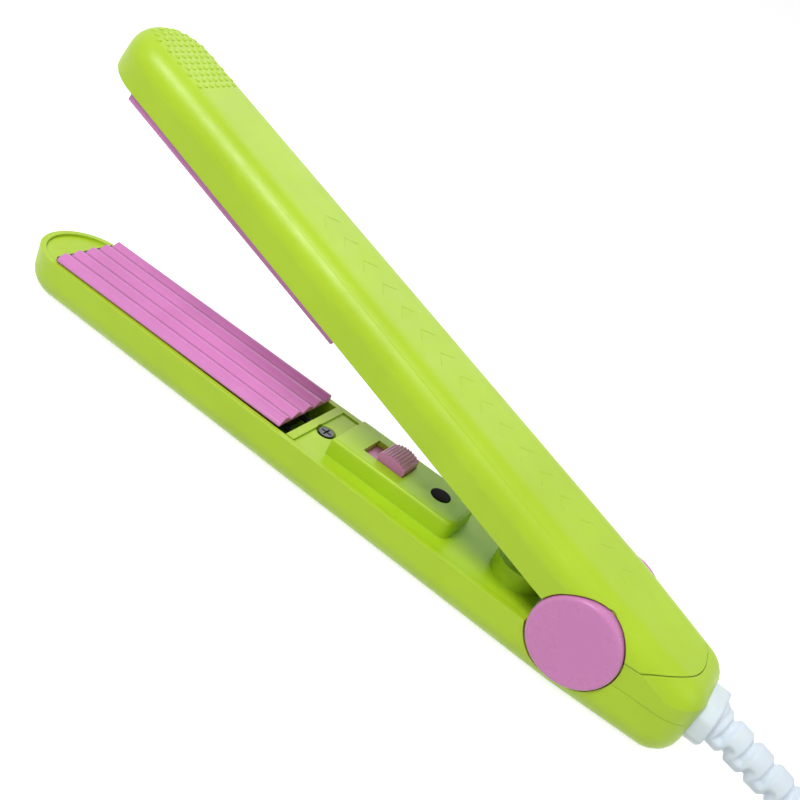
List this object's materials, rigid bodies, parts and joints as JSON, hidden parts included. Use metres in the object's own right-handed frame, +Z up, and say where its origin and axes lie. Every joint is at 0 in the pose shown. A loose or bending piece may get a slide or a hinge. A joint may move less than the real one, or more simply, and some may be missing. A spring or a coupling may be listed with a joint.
{
  "type": "hair crimper",
  "caption": "Small two-armed hair crimper lying open, with ridged heating plates, a slide switch, a spring-opened hinge and a mains cord tied in a hank.",
  "frame": {"origin": "middle of the footprint of the open crimper without its free cord, on the surface that the lower arm lies on", "axes": "+X along the arms from the tip towards the cord, +Y across towards the far side, +Z up"},
  "size_m": [0.3176, 0.0479, 0.0623],
  "materials": {
    "green_plastic": "satin",
    "pink_coating": "satin",
    "pink_plastic": "satin",
    "white_plastic": "matte",
    "dark_plastic": "matte",
    "ceramic": "matte",
    "steel": "satin",
    "nickel": "bright",
    "board": "matte",
    "lamp_lens": "gloss",
    "wire_cover": "matte",
    "cord_cover": "matte"
  },
  "bodies": {
    "lower_arm": {"lower_housing": "green_plastic", "lower_inner_cover": "green_plastic", "lower_heating_plate": "pink_coating", "lower_plate_holder": "dark_plastic", "lower_heater": "ceramic", "lower_heater_clip": "steel", "lower_cover_screw": "steel", "circuit_board": "board", "slide_switch": "dark_plastic", "power_led": "lamp_lens", "led_resistor": "ceramic", "hinge_pin": "steel", "hinge_cap_near": "pink_plastic", "hinge_cap_far": "pink_plastic", "opening_spring": "steel", "cord_clamp": "dark_plastic", "clamp_screws": "steel", "strain_relief": "white_plastic", "inner_cord": "cord_cover", "power_cord": "cord_cover", "cord_hank": "cord_cover", "hank_tie": "dark_plastic", "plug_lead": "cord_cover", "plug_body": "white_plastic", "plug_pins": "nickel", "plug_pin_sleeves": "dark_plastic", "mains_leads": "wire_cover", "lower_leads": "wire_cover"},
    "upper_arm": {"upper_housing": "green_plastic", "upper_inner_cover": "green_plastic", "upper_heating_plate": "pink_coating", "upper_plate_holder": "dark_plastic", "upper_heater": "ceramic", "upper_heater_clip": "steel", "upper_cover_screw": "steel", "upper_leads": "wire_cover"},
    "switch_slider": {"switch_knob": "pink_plastic", "switch_lever": "dark_plastic"}
  },
  "joints": [
    {"name": "arm_hinge", "type": "hinge", "parent": "lower_arm", "child": "upper_arm", "pos_m": [0.057, 0, 0.012], "axis": [0, 1, 0], "range_deg": [-17.3, 0], "stiffness_Nm_per_rad": 0.12, "springref_deg": 20.05, "deforming": ["opening_spring"]},
    {"name": "switch_slide", "type": "slide", "parent": "lower_arm", "child": "switch_slider", "axis": [1, 0, 0], "range_m": [-0.003, 0]}
  ]
}
